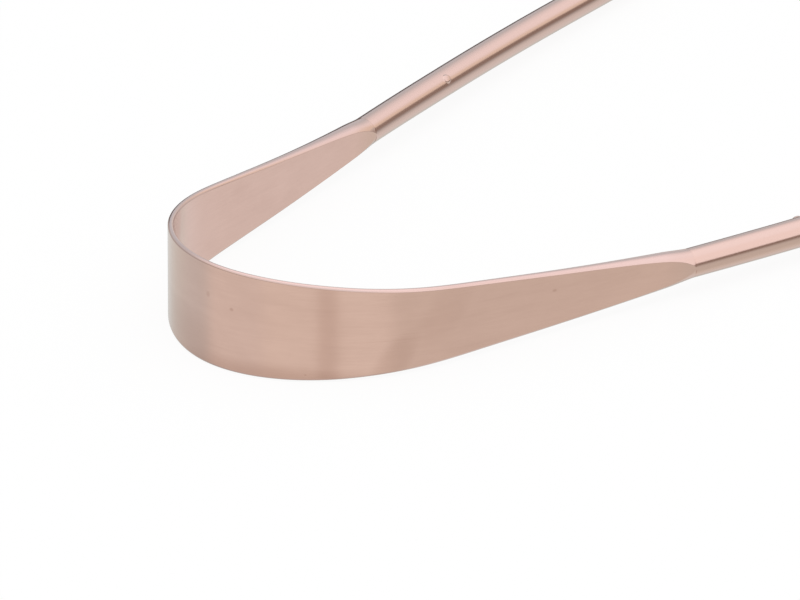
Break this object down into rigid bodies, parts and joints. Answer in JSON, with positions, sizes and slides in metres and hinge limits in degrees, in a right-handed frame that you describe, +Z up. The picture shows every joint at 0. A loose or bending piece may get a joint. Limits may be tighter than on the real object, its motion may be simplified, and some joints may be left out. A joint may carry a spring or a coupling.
{
  "type": "tongue scraper",
  "caption": "U-shaped tongue scraper: a flat springy scraping bow whose arms taper into round rod handles with domed ends.",
  "frame": {"origin": "on the table that the tool lies on, under the middle of its bounding box", "axes": "+Z up, +X from the bow towards the handles, +Y to the left handle; the tool lies on the crown's lower edge and both handle ends"},
  "size_m": [0.1306, 0.0868, 0.0127],
  "materials": {
    "band_copper": "rolled and brushed copper, satin",
    "rod_copper": "drawn copper, softly polished"
  },
  "bodies": {
    "root": {"scraping_bow": "band_copper", "left_arm": "band_copper", "right_arm": "band_copper", "left_shank": "rod_copper", "right_shank": "rod_copper", "left_grip": "rod_copper", "right_grip": "rod_copper"}
  },
  "joints": []
}
